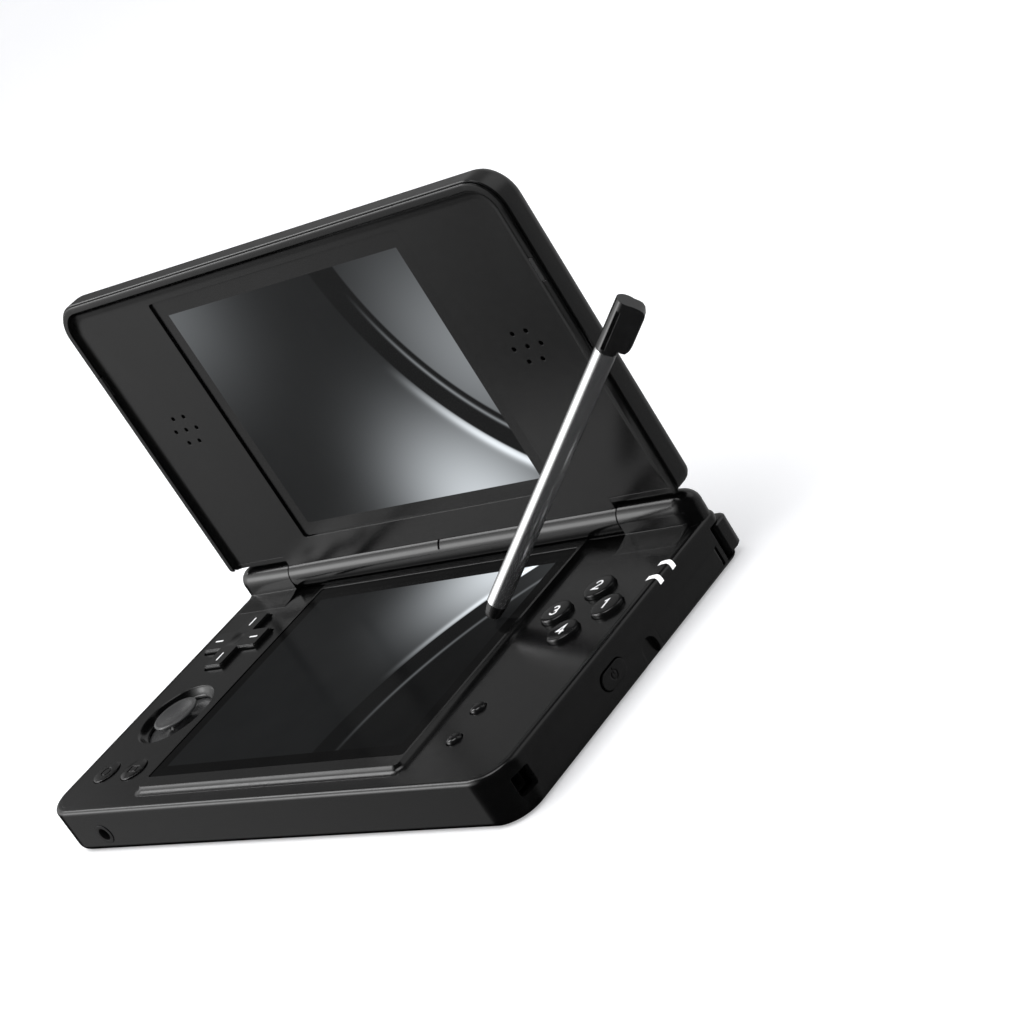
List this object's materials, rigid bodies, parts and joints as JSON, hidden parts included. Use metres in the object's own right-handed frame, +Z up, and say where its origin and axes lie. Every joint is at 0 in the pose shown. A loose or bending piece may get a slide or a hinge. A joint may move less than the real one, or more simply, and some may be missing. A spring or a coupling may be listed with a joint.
{
  "type": "clamshell handheld game console",
  "caption": "Clamshell handheld game console with two displays, cross pad, circle pad, buttons, shoulder buttons and a stylus, lid open at a right angle.",
  "frame": {"origin": "middle of the underside, on the surface that the console rests on", "axes": "+X to the right of the user who faces the displays, +Y from the user towards the hinge, +Z up; lid open at a right angle"},
  "size_m": [0.1796, 0.094, 0.1039],
  "materials": {
    "shell_black": "satin",
    "control_black": "semi-gloss",
    "trim_black": "satin",
    "window_black": "glossy",
    "display": "glossy",
    "battery_grey": "matte",
    "board_green": "satin",
    "membrane": "matte",
    "steel": "satin",
    "inner_grey": "matte",
    "light_white": "translucent",
    "socket_black": "satin",
    "socket_steel": "satin",
    "stylus_steel": "polished",
    "pad_rubber": "matte"
  },
  "bodies": {
    "base": {"base_top_shell": "shell_black", "bottom_cover": "shell_black", "cover_screws": "steel", "battery": "battery_grey", "main_board": "board_green", "key_membrane": "membrane", "lower_display": "display", "touch_glass": "window_black", "shoulder_pins": "steel", "rocker_pin": "steel", "light_windows": "light_white", "headphone_jack": "socket_black", "charge_socket": "socket_steel", "card_socket": "socket_black", "memory_socket": "socket_steel", "silo_liner": "socket_black", "hinge_pin_left": "steel", "hinge_pin_right": "steel"},
    "lid": {"lid_outer_shell": "shell_black", "lid_inner_panel": "shell_black", "hinge_barrel": "shell_black", "upper_display": "display", "upper_window": "window_black", "speakers": "inner_grey", "lid_pads": "pad_rubber", "microphone": "socket_black"},
    "stylus": {"stylus_tip": "control_black", "stylus_shaft": "stylus_steel", "stylus_cap": "control_black"},
    "cross_tilt": {"cross_pivot": "inner_grey"},
    "cross": {"cross_pad": "control_black"},
    "pad_x": {"pad_carriage": "inner_grey"},
    "pad_y": {"circle_pad": "control_black"},
    "key_1": {"button_1": "control_black"},
    "key_2": {"button_2": "control_black"},
    "key_3": {"button_3": "control_black"},
    "key_4": {"button_4": "control_black"},
    "key_start": {"start_button": "control_black"},
    "key_select": {"select_button": "control_black"},
    "key_round_left": {"round_button_left": "trim_black"},
    "key_round_right": {"round_button_right": "trim_black"},
    "key_power": {"power_button": "trim_black"},
    "rocker": {"volume_rocker": "trim_black"},
    "shoulder_l": {"shoulder_left": "trim_black"},
    "shoulder_r": {"shoulder_right": "trim_black"},
    "door": {"card_door": "trim_black"}
  },
  "joints": [
    {"name": "lid_hinge", "type": "hinge", "parent": "base", "child": "lid", "pos_m": [0, 0.04195, 0.0162], "axis": [-1, 0, 0], "range_deg": [-90, 65]},
    {"name": "stylus_away", "type": "slide", "parent": "base", "child": "stylus", "axis": [1, 0, 0], "range_m": [-0.0556, 0.0768]},
    {"name": "cross_tilt_fore_aft", "type": "hinge", "parent": "base", "child": "cross_tilt", "pos_m": [-0.0649, 0.01855, 0.0095], "axis": [1, 0, 0], "range_deg": [-1.9, 1.9], "stiffness_Nm_per_rad": 0.02},
    {"name": "cross_tilt_sideways", "type": "hinge", "parent": "cross_tilt", "child": "cross", "pos_m": [-0.0649, 0.01855, 0.0095], "axis": [0, 1, 0], "range_deg": [-1.9, 1.9], "stiffness_Nm_per_rad": 0.02},
    {"name": "circle_pad_sideways", "type": "slide", "parent": "base", "child": "pad_x", "axis": [1, 0, 0], "range_m": [-0.0025, 0.0025], "stiffness_N_per_m": 100},
    {"name": "circle_pad_fore_aft", "type": "slide", "parent": "pad_x", "child": "pad_y", "axis": [0, 1, 0], "range_m": [-0.0025, 0.0025], "stiffness_N_per_m": 100},
    {"name": "button_1_press", "type": "slide", "parent": "base", "child": "key_1", "axis": [0, 0, -1], "range_m": [0, 0.0008], "stiffness_N_per_m": 300, "springref_m": -0.0006},
    {"name": "button_2_press", "type": "slide", "parent": "base", "child": "key_2", "axis": [0, 0, -1], "range_m": [0, 0.0008], "stiffness_N_per_m": 300, "springref_m": -0.0006},
    {"name": "button_3_press", "type": "slide", "parent": "base", "child": "key_3", "axis": [0, 0, -1], "range_m": [0, 0.0008], "stiffness_N_per_m": 300, "springref_m": -0.0006},
    {"name": "button_4_press", "type": "slide", "parent": "base", "child": "key_4", "axis": [0, 0, -1], "range_m": [0, 0.0008], "stiffness_N_per_m": 300, "springref_m": -0.0006},
    {"name": "start_press", "type": "slide", "parent": "base", "child": "key_start", "axis": [0, 0, -1], "range_m": [0, 0.0006], "stiffness_N_per_m": 300, "springref_m": -0.0006},
    {"name": "select_press", "type": "slide", "parent": "base", "child": "key_select", "axis": [0, 0, -1], "range_m": [0, 0.0006], "stiffness_N_per_m": 300, "springref_m": -0.0006},
    {"name": "round_left_press", "type": "slide", "parent": "base", "child": "key_round_left", "axis": [0, 0, -1], "range_m": [0, 0.0006], "stiffness_N_per_m": 300, "springref_m": -0.0006},
    {"name": "round_right_press", "type": "slide", "parent": "base", "child": "key_round_right", "axis": [0, 0, -1], "range_m": [0, 0.0006], "stiffness_N_per_m": 300, "springref_m": -0.0006},
    {"name": "power_press", "type": "slide", "parent": "base", "child": "key_power", "axis": [-1, 0, 0], "range_m": [0, 0.0005], "stiffness_N_per_m": 300, "springref_m": -0.0006},
    {"name": "volume_rock", "type": "hinge", "parent": "base", "child": "rocker", "pos_m": [-0.0774, -0.00175, 0.00635], "axis": [0, 0, 1], "range_deg": [-2.5, 2.5], "stiffness_Nm_per_rad": 0.03},
    {"name": "shoulder_left_press", "type": "hinge", "parent": "base", "child": "shoulder_l", "pos_m": [-0.0614, 0.04375, 0.0057], "axis": [0, 0, 1], "range_deg": [0, 2.5], "stiffness_Nm_per_rad": 0.1, "springref_deg": -1.15},
    {"name": "shoulder_right_press", "type": "hinge", "parent": "base", "child": "shoulder_r", "pos_m": [0.0614, 0.04375, 0.0057], "axis": [0, 0, -1], "range_deg": [0, 2.5], "stiffness_Nm_per_rad": 0.1, "springref_deg": -1.15},
    {"name": "card_door_hinge", "type": "hinge", "parent": "base", "child": "door", "pos_m": [0.07974, 0.03835, 0.0044], "axis": [0, 0, 1], "range_deg": [0, 75]}
  ],
  "couplings": [
    {"joint": "stylus_away", "follows": "lid_hinge", "m_per_rad": -0.0487}
  ]
}
